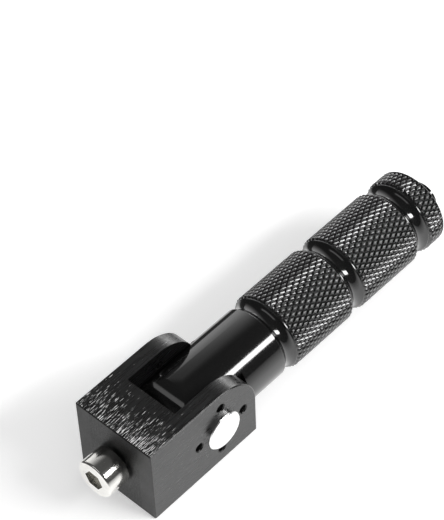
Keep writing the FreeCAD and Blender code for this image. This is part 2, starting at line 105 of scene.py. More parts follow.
class Graph:
    """Adds nodes to a shader or geometry tree and joins them."""

    def __init__(self, tree: bpy.types.NodeTree) -> None:
        """Start from an empty tree.

        Args:
            tree: the tree that takes the nodes.
        """
        self.tree = tree
        tree.nodes.clear()

    def node(self, kind: str, inputs: dict | None = None, **settings: Any) -> bpy.types.Node:
        """Add a node, set its options and fill its inputs, those that share a name by number.

        Args:
            kind: the node's type.
            inputs: a socket to join or a plain value for each input, by name or number.
            settings: the node's own options.

        Returns:
            The new node.
        """
        node = self.tree.nodes.new(kind)
        for name, value in settings.items():
            setattr(node, name, value)
        for name, value in (inputs or {}).items():
            if isinstance(value, bpy.types.NodeSocket):
                self.tree.links.new(value, node.inputs[name])
            else:
                node.inputs[name].default_value = value
        return node

    def work(self, operation: str, *values: Any, clamp: bool = False) -> bpy.types.NodeSocket:
        """Work out a number from one to three others.

        Args:
            operation: the name of the operation.
            values: sockets or plain numbers.
            clamp: whether the result is held between 0 and 1.

        Returns:
            The socket that gives the result.
        """
        inputs = dict(enumerate(values))
        return self.node("ShaderNodeMath", inputs, operation=operation, use_clamp=clamp).outputs[0]

    def ramp(self, value: Any, low: float, high: float, to_low: float = 0.0, to_high: float = 1.0,
             smooth: bool = False) -> bpy.types.NodeSocket:
        """Carry a number from one range to another and hold it there.

        Args:
            value: the socket that gives the number.
            low: where the range starts.
            high: where the range ends.
            to_low: what the start becomes.
            to_high: what the end becomes.
            smooth: whether the change eases in and out.

        Returns:
            The socket that gives the result.
        """
        kind = "SMOOTHSTEP" if smooth else "LINEAR"
        inputs = {"Value": value, "From Min": low, "From Max": high, "To Min": to_low, "To Max": to_high}
        return self.node("ShaderNodeMapRange", inputs, interpolation_type=kind).outputs["Result"]

    def length(self, first: Any, second: Any) -> bpy.types.NodeSocket:
        """The length of the slope over two sides at right angles.

        Args:
            first: the socket that gives the first side.
            second: the socket that gives the second side.

        Returns:
            The socket that gives the length.
        """
        squares = [self.work("POWER", side, 2.0) for side in (first, second)]
        return self.work("SQRT", self.work("ADD", *squares))

    def blend(self, share: Any, first: Any, second: Any) -> bpy.types.NodeSocket:
        """Mix two colours.

        Args:
            share: how much of the second colour shows.
            first: the first colour.
            second: the second colour.

        Returns:
            The socket that gives the mixed colour.
        """
        share_slot, first_slot, second_slot, colour_slot = 0, 6, 7, 2
        inputs = {share_slot: share, first_slot: first, second_slot: second}
        return self.node("ShaderNodeMix", inputs, data_type="RGBA").outputs[colour_slot]

    def grain(self, place: Any, stretch: tuple, turn: float = 0.0,
              detail: float = 3.0) -> bpy.types.NodeSocket:
        """Noise on the piece, with its own size and direction.

        Args:
            place: the socket that gives the place on the piece, in millimetres.
            stretch: how many spots there are to a millimetre along X, Y and Z.
            turn: how far the grain is turned about Z, in degrees.
            detail: how many finer layers are added.

        Returns:
            The socket that gives the noise, about 0.5 on average.
        """
        turned = self.node("ShaderNodeMapping", {"Vector": place, "Rotation": (0, 0, -math.radians(turn))},
                           vector_type="POINT").outputs[0]
        scaled = self.node("ShaderNodeMapping", {"Vector": turned, "Scale": stretch}).outputs[0]
        inputs = {"Vector": scaled, "Scale": 1.0, "Detail": detail, "Roughness": NOISE_ROUGHNESS}
        return self.node("ShaderNodeTexNoise", inputs).outputs["Fac"]

    def place_mm(self) -> bpy.types.NodeSocket:
        """The place on the piece, in millimetres."""
        place = self.node("ShaderNodeTexCoord").outputs["Object"]
        return self.node("ShaderNodeMapping", {"Vector": place, "Scale": (1 / MM,) * 3}).outputs[0]

    def parts(self, vector: Any) -> bpy.types.Node:
        """The X, Y and Z of a vector, as the outputs of one node."""
        return self.node("ShaderNodeSeparateXYZ", {0: vector})


def grey(level: float) -> tuple:
    """A neutral colour of one level."""
    return (level, level, level, 1.0)


def new_material(name: str) -> tuple[bpy.types.Material, Graph]:
    """An empty material and the graph of its nodes.

    Args:
        name: the material's name.

    Returns:
        The material and its graph.
    """
    material = bpy.data.materials.new(name)
    material.use_nodes = True
    return material, Graph(material.node_tree)


def close_material(graph: Graph, inputs: dict) -> None:
    """End a material in one surface shader.

    Args:
        graph: the material's graph.
        inputs: what the surface shader's sockets take.
    """
    surface = graph.node("ShaderNodeBsdfPrincipled", inputs)
    graph.node("ShaderNodeOutputMaterial", {"Surface": surface.outputs[0]})


@dataclass(frozen=True)
class BlockFinish:
    """Black anodised bar stock: fine brushing on the sides, a coarse cut with painted glints on the top,
    painted shade in the slot.

    A grain is how many spots there are to a millimetre along X, Y and Z. Places are in millimetres.
    """

    name: str = "black_anodised_block"
    dark: float = 0.002
    brushed: float = 0.026
    # The colour of the glints that are painted on the top.
    glint: float = 0.90
    top_facing: tuple = (0.90, 0.98)
    top_darkness: float = 0.85
    back_facing: tuple = (-0.6, -0.9)
    glint_turn: float = 2.0
    glint_grain: tuple = (0.26, 3.6, 0.4)
    fine_grain: tuple = (0.7, 6.0, 0.9)
    coarse_share: float = 0.65
    glint_range: tuple = (0.56, 0.64)
    # Where the painted glints grow and fade, from the back edge forward and from the pin head's side across,
    # and by how much.
    from_back: tuple = (1.0, 18.0)
    back_lift: tuple = (0.03, -0.11)
    from_side: tuple = (-15.0, 8.0)
    side_lift: tuple = (0.006, -0.006)
    brush_grain: tuple = (0.10, 1.7, 1.7)
    brush_range: tuple = (0.40, 0.72)
    cloud_grain: tuple = (0.16, 0.16, 0.16)
    roughness: float = 0.30
    brush_spread: float = 0.10
    cloud_spread: float = 0.03
    back_roughness: float = 0.50
    # The slot's half width, and how far past it the painted shade of the slot gives way to the brushed tone.
    slot_half: float = 9.55
    slot_edge: float = 0.2
    brush_height: float = 0.25
    bump: float = 0.45
    bump_depth: float = 0.00006
    ior: float = 1.50

    def build(self) -> bpy.types.Material:
        """Make the material.

        Returns:
            The material.
        """
        material, graph = new_material(self.name)
        place = graph.place_mm()
        facing = graph.parts(graph.node("ShaderNodeTexCoord").outputs["Normal"])
        at = graph.parts(place)
        top = graph.ramp(facing.outputs["Z"], *self.top_facing)
        brushing = graph.grain(place, self.brush_grain, detail=2.0)
        cut_and_glints = self.cut_and_glint_pattern(graph, place, at)
        # Painted highlight: glints on the top, put into the colour where the cut's pattern is high.
        painted_glints = graph.ramp(cut_and_glints, *self.glint_range)
        across = graph.work("ABSOLUTE", at.outputs["Y"])
        # Painted shade: the brushed tone is kept off everything between the slot's walls, the walls and floor
        # of the slot among them, which keep the darkest tone.
        outside_painted_slot_shade = graph.ramp(across, self.slot_half, self.slot_half + self.slot_edge)
        rubbed = graph.work("MULTIPLY", graph.ramp(brushing, *self.brush_range), outside_painted_slot_shade)
        sides = graph.blend(rubbed, grey(self.dark), grey(self.brushed))
        sides = graph.blend(graph.work("MULTIPLY", top, self.top_darkness), sides, grey(self.dark))
        # The painted glints go into the top's colour here.
        colour = graph.blend(graph.work("MULTIPLY", painted_glints, top), sides, grey(self.glint))
        height = graph.work("ADD", graph.work("MULTIPLY", brushing, self.brush_height),
                            graph.work("MULTIPLY", cut_and_glints, top))
        bump = graph.node("ShaderNodeBump", {"Height": height, "Strength": self.bump,
                                             "Distance": self.bump_depth})
        rough = self.dullness(graph, place, facing, brushing)
        close_material(graph, {"Base Color": colour, "Roughness": rough, "IOR": self.ior,
                               "Normal": bump.outputs[0]})
        return material

    def dullness(self, graph: Graph, place: Any, facing: bpy.types.Node,
                 brushing: Any) -> bpy.types.NodeSocket:
        """How dull the surface is: most on the back face, and uneven with the brushing and in clouds.

        Args:
            graph: the material's graph.
            place: the socket that gives the place on the piece, in millimetres.
            facing: the node that gives the X, Y and Z of the way the surface faces.
            brushing: the socket that gives the brushing.

        Returns:
            The socket that gives the roughness.
        """
        clouds = graph.grain(place, self.cloud_grain, detail=3.0)
        back = graph.ramp(facing.outputs["X"], *self.back_facing)
        streaks = graph.ramp(brushing, *NOISE_RANGE, -self.brush_spread, self.brush_spread)
        cloudy = graph.ramp(clouds, *NOISE_RANGE, self.roughness - self.cloud_spread,
                            self.roughness + self.cloud_spread)
        more = graph.work("MULTIPLY", back, self.back_roughness - self.roughness)
        return graph.work("ADD", graph.work("ADD", streaks, cloudy), more)

    def cut_and_glint_pattern(self, graph: Graph, place: Any, at: bpy.types.Node) -> bpy.types.NodeSocket:
        """The pattern of the top's cut, which gives both its bumps and its painted glints: most at the back
        edge and the pin head's side.

        Args:
            graph: the material's graph.
            place: the socket that gives the place on the piece, in millimetres.
            at: the node that gives the place's X, Y and Z.

        Returns:
            The socket that gives the pattern, about 0.5 on average.
        """
        coarse = graph.grain(place, self.glint_grain, turn=self.glint_turn, detail=1.0)
        fine = graph.grain(place, self.fine_grain, turn=self.glint_turn, detail=1.0)
        both = graph.work("ADD", graph.work("MULTIPLY", coarse, self.coarse_share),
                          graph.work("MULTIPLY", fine, 1 - self.coarse_share))
        from_back = graph.ramp(at.outputs["X"], *self.from_back, *self.back_lift)
        from_side = graph.ramp(at.outputs["Y"], *self.from_side, *self.side_lift)
        return graph.work("ADD", both, graph.work("ADD", from_back, from_side))


@dataclass(frozen=True)
class BarFinish:
    """Black anodised bar: mirror-like neck and grooves, and a knurl whose crests are rubbed bright.

    A grain is how many spots there are to a millimetre along X, Y and Z. Places are in millimetres.
    """

    name: str = "black_anodised_bar"
    deep: float = 0.004
    deep_spread: tuple = (0.7, 1.4)
    crest: float = 0.20
    roughness: float = 0.10
    mark_spread: tuple = (-0.015, 0.02)
    knurl_roughness: float = 0.14
    ior: float = 1.72
    axis_drop: float = 1.0
    valley_radius: float = 12.72
    valley_edge: float = 0.12
    crest_radius: float = 13.28
    crest_edge: float = 0.16
    patch_grain: tuple = (0.35, 0.35, 0.35)
    patch_rub: tuple = (0.2, 0.7)
    mark_grain: tuple = (1.2, 6.0, 6.0)
    cone_start: float = 134.5
    cone_edge: float = 0.2
    cone_roughness: float = 0.34
    nub_start: float = 139.8
    nub_edge: float = 0.1
    bump: float = 0.05
    bump_depth: float = 0.00002

    def build(self) -> bpy.types.Material:
        """Make the material.

        Returns:
            The material.
        """
        material, graph = new_material(self.name)
        place = graph.place_mm()
        at = graph.parts(place)
        drop = graph.work("ADD", at.outputs["Z"], self.axis_drop)
        radius = graph.length(drop, at.outputs["Y"])
        patches = graph.grain(place, self.patch_grain, detail=4.0)
        marks = graph.grain(place, self.mark_grain, detail=2.0)
        rise = graph.ramp(radius, self.crest_radius - self.crest_edge, self.crest_radius)
        rubbed = graph.work("MULTIPLY", rise, graph.ramp(patches, *NOISE_RANGE, *self.patch_rub))
        darkest, lightest = (grey(self.deep * share) for share in self.deep_spread)
        smooth = graph.blend(graph.ramp(marks, *NOISE_RANGE), darkest, lightest)
        colour = graph.blend(rubbed, smooth, grey(self.crest))
        bump = graph.node("ShaderNodeBump", {"Height": marks, "Strength": self.bump,
                                             "Distance": self.bump_depth})
        rough = self.dullness(graph, at, radius, marks)
        close_material(graph, {"Base Color": colour, "Metallic": rubbed, "Roughness": rough, "IOR": self.ior,
                               "Normal": bump.outputs[0]})
        return material

    def dullness(self, graph: Graph, at: bpy.types.Node, radius: Any, marks: Any) -> bpy.types.NodeSocket:
        """How dull the surface is: more on the knurl than on the neck, and most on the cone.

        Args:
            graph: the material's graph.
            at: the node that gives the place's X, Y and Z.
            radius: the socket that gives how far out from the bar's axis the place is.
            marks: the socket that gives the turning marks.

        Returns:
            The socket that gives the roughness.
        """
        knurled = graph.ramp(radius, self.valley_radius - self.valley_edge, self.valley_radius)
        least, most = (self.roughness + change for change in self.mark_spread)
        rough = graph.work("ADD", graph.work("MULTIPLY", knurled, self.knurl_roughness - self.roughness),
                           graph.ramp(marks, *NOISE_RANGE, least, most))
        past_rim = graph.ramp(at.outputs["X"], self.cone_start, self.cone_start + self.cone_edge)
        before_nub = graph.ramp(at.outputs["X"], self.nub_start, self.nub_start - self.nub_edge)
        cone = graph.work("MULTIPLY", past_rim, before_nub)
        return graph.work("ADD", rough, graph.work("MULTIPLY", cone, self.cone_roughness - self.roughness))


@dataclass(frozen=True)
class MetalFinish:
    """Bare or plated metal with a fine grain. A grain is how many spots there are to a millimetre."""

    name: str
    tint: tuple
    roughness: float
    spread: float = 0.05
    grain: tuple = (2.0, 2.0, 2.0)
    cloud_grain: tuple = (0.3, 0.3, 0.3)
    bump: float = 0.05
    bump_depth: float = 0.00003
    shade: float = 0.85

    def build(self) -> bpy.types.Material:
        """Make the material.

        Returns:
            The material.
        """
        material, graph = new_material(self.name)
        place = graph.place_mm()
        grain = graph.grain(place, self.grain, detail=4.0)
        clouds = graph.grain(place, self.cloud_grain, detail=2.0)
        darker = tuple(part * self.shade for part in self.tint)
        colour = graph.blend(graph.ramp(clouds, *NOISE_RANGE), (*darker, 1.0), (*self.tint, 1.0))
        rough = graph.ramp(grain, *NOISE_RANGE, self.roughness - self.spread, self.roughness + self.spread)
        bump = graph.node("ShaderNodeBump", {"Height": grain, "Strength": self.bump,
                                             "Distance": self.bump_depth})
        close_material(graph, {"Base Color": colour, "Roughness": rough, "Metallic": 1.0,
                               "Normal": bump.outputs[0]})
        return material


PIN_ZINC = MetalFinish("bright_zinc_pin", (0.95, 0.95, 0.95), 0.22, shade=0.94)
CLIP_STEEL = MetalFinish("dark_spring_clip", (0.16, 0.155, 0.15), 0.34)
SCREW_STAINLESS = MetalFinish("stainless_screw", (0.80, 0.79, 0.76), 0.15, spread=0.03, bump=0.03)
BALL_STEEL = MetalFinish("polished_ball", (0.75, 0.75, 0.76), 0.08, spread=0.02)


def add_object(name: str, mesh: bpy.types.Mesh) -> bpy.types.Object:
    """Put a mesh in the scene, at the origin.

    Args:
        name: the object's name.
        mesh: its mesh.

    Returns:
        The new object.
    """
    piece = bpy.data.objects.new(name, mesh)
    bpy.context.scene.collection.objects.link(piece)
    return piece


def smooth_by_angle(mesh: bpy.types.Mesh, degrees: float = CORNER_ANGLE) -> None:
    """Shade a mesh smooth and keep its corners sharp.

    Args:
        mesh: the mesh to shade.
        degrees: the angle from which an edge is a corner.
    """
    mesh.shade_smooth()
    mesh.set_sharp_from_angle(angle=math.radians(degrees))


def welded_copy(node: str, name: str, degrees: float = CORNER_ANGLE) -> bpy.types.Object:
    """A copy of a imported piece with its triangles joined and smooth.

    Args:
        node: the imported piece.
        name: the copy's name.
        degrees: the angle from which an edge is a corner.

    Returns:
        The copy.
    """
    loose = bmesh.new()
    loose.from_mesh(frame["nodes"][node].data)
    bmesh.ops.remove_doubles(loose, verts=loose.verts, dist=PACKED_WELD)
    loose.verts.ensure_lookup_table()
    places = [vertex.co.copy() for vertex in loose.verts]
    faces = [[vertex.index for vertex in face.verts] for face in loose.faces]
    loose.free()
    mesh = bpy.data.meshes.new(name)
    mesh.from_pydata(places, [], faces)
    mesh.validate()
    smooth_by_angle(mesh, degrees)
    return add_object(name, mesh)


def in_metres(places: list[tuple[float, float]]) -> list[tuple[float, float]]:
    """Places in a plane, carried from millimetres to metres."""
    return [(first * MM, second * MM) for first, second in places]


def turned_mesh(name: str, outline: list[tuple[float, float]], sides: int) -> bpy.types.Mesh:
    """Turn an outline about the X axis into a closed solid.

    Args:
        name: the mesh's name.
        outline: places along and out from the axis, from one end on the axis to the other.
        sides: how many sides the round has.

    Returns:
        The mesh.
    """
    solid = bmesh.new()
    rings = []
    for along, out in outline:
        if out < ON_AXIS:
            rings.append([solid.verts.new((along, 0, 0))])
            continue
        ring = []
        for side in range(sides):
            angle = 2 * math.pi * side / sides
            ring.append(solid.verts.new((along, out * math.cos(angle), out * math.sin(angle))))
        rings.append(ring)
    for first, second in zip(rings, rings[1:]):
        for side in range(sides):
            following = (side + 1) % sides
            corners = [first[side % len(first)], second[side % len(second)],
                       second[following % len(second)], first[following % len(first)]]
            solid.faces.new(dict.fromkeys(corners))
    bmesh.ops.recalc_face_normals(solid, faces=solid.faces)
    mesh = bpy.data.meshes.new(name)
    solid.to_mesh(mesh)
    solid.free()
    return mesh


def prism_mesh(name: str, outline: list[tuple[float, float]], low: float, high: float) -> bpy.types.Mesh:
    """A solid with one outline in X and Z, drawn out along Y.

    Args:
        name: the mesh's name.
        outline: the corners in X and Z.
        low: where it starts along Y.
        high: where it ends along Y.

    Returns:
        The mesh.
    """
    solid = bmesh.new()
    near = [solid.verts.new((along, low, up)) for along, up in outline]
    far = [solid.verts.new((along, high, up)) for along, up in outline]
    solid.faces.new(near)
    solid.faces.new(far)
    for index in range(len(outline)):
        following = (index + 1) % len(outline)
        solid.faces.new((near[index], near[following], far[following], far[index]))
    bmesh.ops.recalc_face_normals(solid, faces=solid.faces)
    mesh = bpy.data.meshes.new(name)
    solid.to_mesh(mesh)
    solid.free()
    return mesh


def arc(centre: tuple[float, float], radius: float, start: float, end: float, steps: int) -> list:
    """Places on an arc in a plane.

    Args:
        centre: the arc's centre.
        radius: its radius.
        start: the first angle, in degrees.
        end: the last angle, in degrees.
        steps: how many stretches it has.

    Returns:
        The places, both ends among them.
    """
    places = []
    for step in range(steps + 1):
        angle = math.radians(start + (end - start) * step / steps)
        places.append((centre[0] + radius * math.cos(angle), centre[1] + radius * math.sin(angle)))
    return places


def combine(piece: bpy.types.Object, tool: bpy.types.Object, cut: Cut) -> None:
    """Let a tool solid work on a piece, and take the tool away.

    Args:
        piece: the piece that changes.
        tool: the solid that works on it.
        cut: what the tool does.
    """
    modifier = piece.modifiers.new("shape", "BOOLEAN")
    modifier.object = tool
    modifier.operation = cut.value
    modifier.solver = "EXACT"
    settle(piece)
    bpy.data.objects.remove(tool)


def weld(mesh: bpy.types.Mesh) -> None:
    """Draw together the close corners that a cut leaves, and drop the slivers between them.

    Args:
        mesh: the mesh that changes.
    """
    solid = bmesh.new()
    solid.from_mesh(mesh)
    bmesh.ops.remove_doubles(solid, verts=solid.verts, dist=CUT_WELD)
    bmesh.ops.dissolve_degenerate(solid, edges=solid.edges, dist=CUT_WELD)
    solid.to_mesh(mesh)
    solid.free()


def join(pieces: list[bpy.types.Object]) -> bpy.types.Object:
    """Put separate solids into the first one's mesh and take the others away.

    Args:
        pieces: the solids. They don't touch each other.

    Returns:
        The first one.
    """
    solid = bmesh.new()
    for piece in pieces:
        solid.from_mesh(piece.data)
    solid.to_mesh(pieces[0].data)
    solid.free()
    for piece in pieces[1:]:
        bpy.data.objects.remove(piece)
    return pieces[0]


def settle(piece: bpy.types.Object) -> None:
    """Make a piece's modifiers part of its mesh and remove them.

    Args:
        piece: the piece to settle.
    """
    graph = bpy.context.evaluated_depsgraph_get()
    mesh = bpy.data.meshes.new_from_object(piece.evaluated_get(graph), depsgraph=graph)
    piece.modifiers.clear()
    piece.data = mesh


def dress(piece: bpy.types.Object, material: bpy.types.Material) -> None:
    """Give a whole piece one material.

    Args:
        piece: the piece to dress.
        material: its material.
    """
    piece.data.materials.clear()
    piece.data.materials.append(material)
    for face in piece.data.polygons:
        face.material_index = 0


def stand_for(piece: bpy.types.Object, node: str) -> None:
    """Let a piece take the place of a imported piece, on the same body.

    Args:
        piece: the new piece.
        node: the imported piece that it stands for.
    """
    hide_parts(node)
    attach(piece, frame["nodes"][node]["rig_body"])
    LOG.info("%s stands for %s: %d faces", piece.name, node, len(piece.data.polygons))


def run_tree(name: str, tree: bpy.types.NodeTree, values: dict) -> bpy.types.Object:
    """Let a geometry tree make a piece, as a plain mesh.

    Args:
        name: the piece's name.
        tree: the geometry tree.
        values: the tree's inputs, by name.

    Returns:
        The piece, with no modifier left on it.
    """
    piece = add_object(name, bpy.data.meshes.new(name))
    modifier = piece.modifiers.new(name, "NODES")
    modifier.node_group = tree
    for item in tree.interface.items_tree:
        if item.item_type == "SOCKET" and item.in_out == "INPUT" and item.name in values:
            modifier[item.identifier] = values[item.name]
    settle(piece)
    return piece


def new_tree(name: str, inputs: dict) -> tuple[Graph, dict]:
    """A geometry tree with named inputs.

    Args:
        name: the tree's name.
        inputs: each input's name and its kind of socket.

    Returns:
        The tree's graph, and the socket that gives each input.
    """
    tree = bpy.data.node_groups.new(name, "GeometryNodeTree")
    tree.interface.new_socket(name="Geometry", in_out="OUTPUT", socket_type="NodeSocketGeometry")
    for label, kind in inputs.items():
        tree.interface.new_socket(name=label, in_out="INPUT", socket_type=kind)
    graph = Graph(tree)
    entry = graph.node("NodeGroupInput")
    return graph, {label: entry.outputs[label] for label in inputs}


def end_tree(graph: Graph, geometry: Any, material: Any) -> None:
    """End a geometry tree in real geometry with one material.

    Args:
        graph: the tree's graph.
        geometry: the socket that gives the geometry.
        material: the socket that gives the material.
    """
    real = graph.node("GeometryNodeRealizeInstances", {0: geometry}).outputs[0]
    dressed = graph.node("GeometryNodeSetMaterial", {"Geometry": real, "Material": material})
    graph.node("NodeGroupOutput", {"Geometry": dressed.outputs[0]})


def bend(graph: Graph, flat: Any, along: Any, radius: Any, closeness: float) -> bpy.types.NodeSocket:
    """Bend a flat sheet round the X axis into a closed solid that faces outward. Its Y is the angle.

    Args:
        graph: the tree's graph.
        flat: the socket that gives the sheet.
        along: the socket that gives each corner's new place along the axis.
        radius: the socket that gives how far out each corner goes.
        closeness: corners that end up closer than this are one.

    Returns:
        The socket that gives the solid.
    """
    angle = graph.parts(graph.node("GeometryNodeInputPosition").outputs[0]).outputs["Y"]
    across = graph.work("MULTIPLY", radius, graph.work("COSINE", angle))
    up = graph.work("MULTIPLY", radius, graph.work("SINE", angle))
    bent = graph.node("ShaderNodeCombineXYZ", {"X": along, "Y": across, "Z": up})
    round_sheet = graph.node("GeometryNodeSetPosition", {"Geometry": flat, "Position": bent.outputs[0]})
    welded = graph.node("GeometryNodeMergeByDistance", {"Geometry": round_sheet.outputs[0],
                                                        "Distance": closeness})
    return graph.node("GeometryNodeFlipFaces", {0: welded.outputs[0]}).outputs[0]


def knurl_tree() -> bpy.types.NodeTree:
    """A closed spindle along X whose round is covered with rows of staggered diamonds.

    One tooth is a four-sided stump. It is set out on two flat grids, half a step apart, which are then
    bent round the axis, and both ends are drawn in to the axis.

    Returns:
        The geometry tree.
    """
    graph, given = new_tree("diamond_knurl", {
        "Valley radius": "NodeSocketFloat", "Depth": "NodeSocketFloat", "Diamond length": "NodeSocketFloat",
        "Crest share": "NodeSocketFloat", "Starts": "NodeSocketInt", "Columns": "NodeSocketInt",
        "Middle": "NodeSocketFloat", "Reach": "NodeSocketFloat", "Finish": "NodeSocketMaterial"})
    step = graph.work("DIVIDE", 2 * math.pi, given["Starts"])
    stump = graph.node("GeometryNodeMeshCone", {"Vertices": 4, "Radius Top": given["Crest share"],
                                                "Radius Bottom": 1.0, "Depth": 1.0}, fill_type="NGON")
    shell = graph.node("GeometryNodeDeleteGeometry", {"Geometry": stump.outputs["Mesh"],
                                                      "Selection": stump.outputs["Bottom"]}, domain="FACE")
    size = graph.node("ShaderNodeCombineXYZ", {"X": graph.work("MULTIPLY", given["Diamond length"], 0.5),
                                               "Y": graph.work("MULTIPLY", step, 0.5), "Z": given["Depth"]})
    tooth = graph.node("GeometryNodeTransform", {"Geometry": shell.outputs[0], "Scale": size.outputs[0]})
    along = graph.work("MULTIPLY", given["Diamond length"], graph.work("SUBTRACT", given["Columns"], 1))
    around = graph.work("SUBTRACT", 2 * math.pi, step)
    grid = graph.node("GeometryNodeMeshGrid", {"Size X": along, "Size Y": around,
                                               "Vertices X": given["Columns"], "Vertices Y": given["Starts"]})
    shift = graph.node("ShaderNodeCombineXYZ", {"X": graph.work("MULTIPLY", given["Diamond length"], 0.5),
                                                "Y": graph.work("MULTIPLY", step, 0.5)})
    second = graph.node("GeometryNodeTransform", {"Geometry": grid.outputs["Mesh"],
                                                  "Translation": shift.outputs[0]})
    both = graph.node("GeometryNodeJoinGeometry")
    for part in (second.outputs[0], grid.outputs["Mesh"]):
        graph.tree.links.new(part, both.inputs[0])
    teeth = graph.node("GeometryNodeInstanceOnPoints", {"Points": both.outputs[0],
                                                        "Instance": tooth.outputs[0]})
    flat = graph.node("GeometryNodeRealizeInstances", {0: teeth.outputs[0]})
    at = graph.parts(graph.node("GeometryNodeInputPosition").outputs[0])
    height = graph.work("ADD", at.outputs["Z"], given["Valley radius"])
    inside = graph.work("LESS_THAN", graph.work("ABSOLUTE", at.outputs["X"]), given["Reach"])
    radius = graph.work("MULTIPLY", height, inside)
    start = graph.work("MULTIPLY", given["Reach"], -1)
    held = graph.work("MINIMUM", graph.work("MAXIMUM", at.outputs["X"], start), given["Reach"])
    along_bar = graph.work("ADD", held, given["Middle"])
    end_tree(graph, bend(graph, flat.outputs[0], along_bar, radius, KNURL_WELD), given["Finish"])
    return graph.tree


def thread_tree() -> bpy.types.NodeTree:
    """A closed threaded rod along X: a flat grid bent round the axis, with a ridge that climbs as it turns.

    The root and the crest are flat over their share of a turn, and the ridge sinks away over the runout.

    Returns:
        The geometry tree.
    """
    graph, given = new_tree("screw_thread", {
        "Root radius": "NodeSocketFloat", "Depth": "NodeSocketFloat", "Pitch": "NodeSocketFloat",
        "Root share": "NodeSocketFloat", "Crest share": "NodeSocketFloat", "Length": "NodeSocketFloat",
        "Middle": "NodeSocketFloat", "Runout": "NodeSocketFloat", "Steps": "NodeSocketInt",
        "Sides": "NodeSocketInt", "Finish": "NodeSocketMaterial"})
    grid = graph.node("GeometryNodeMeshGrid", {"Size X": given["Length"], "Size Y": 2 * math.pi,
                                               "Vertices X": given["Steps"], "Vertices Y": given["Sides"]})
    at = graph.parts(graph.node("GeometryNodeInputPosition").outputs[0])
    turns = graph.work("SUBTRACT", graph.work("DIVIDE", at.outputs["X"], given["Pitch"]),
                       graph.work("DIVIDE", at.outputs["Y"], 2 * math.pi))
    half_turn = 0.5
    wave = graph.work("PINGPONG", turns, half_turn)
    foot = graph.work("MULTIPLY", given["Root share"], half_turn)
    top = graph.work("SUBTRACT", half_turn, graph.work("MULTIPLY", given["Crest share"], half_turn))
    ridge = graph.ramp(wave, foot, top)
    half = graph.work("MULTIPLY", given["Length"], 0.5)
    to_end = graph.work("SUBTRACT", half, at.outputs["X"])
    fade = graph.work("DIVIDE", to_end, given["Runout"], clamp=True)
    height = graph.work("MULTIPLY", given["Depth"], graph.work("MULTIPLY", ridge, fade))
    step = graph.work("DIVIDE", given["Length"], given["Steps"])
    inside = graph.work("LESS_THAN", graph.work("ABSOLUTE", at.outputs["X"]),
                        graph.work("SUBTRACT", half, graph.work("MULTIPLY", step, 0.5)))
    radius = graph.work("MULTIPLY", graph.work("ADD", given["Root radius"], height), inside)
    along = graph.work("ADD", at.outputs["X"], given["Middle"])
    end_tree(graph, bend(graph, grid.outputs["Mesh"], along, radius, THREAD_WELD), given["Finish"])
    return graph.tree


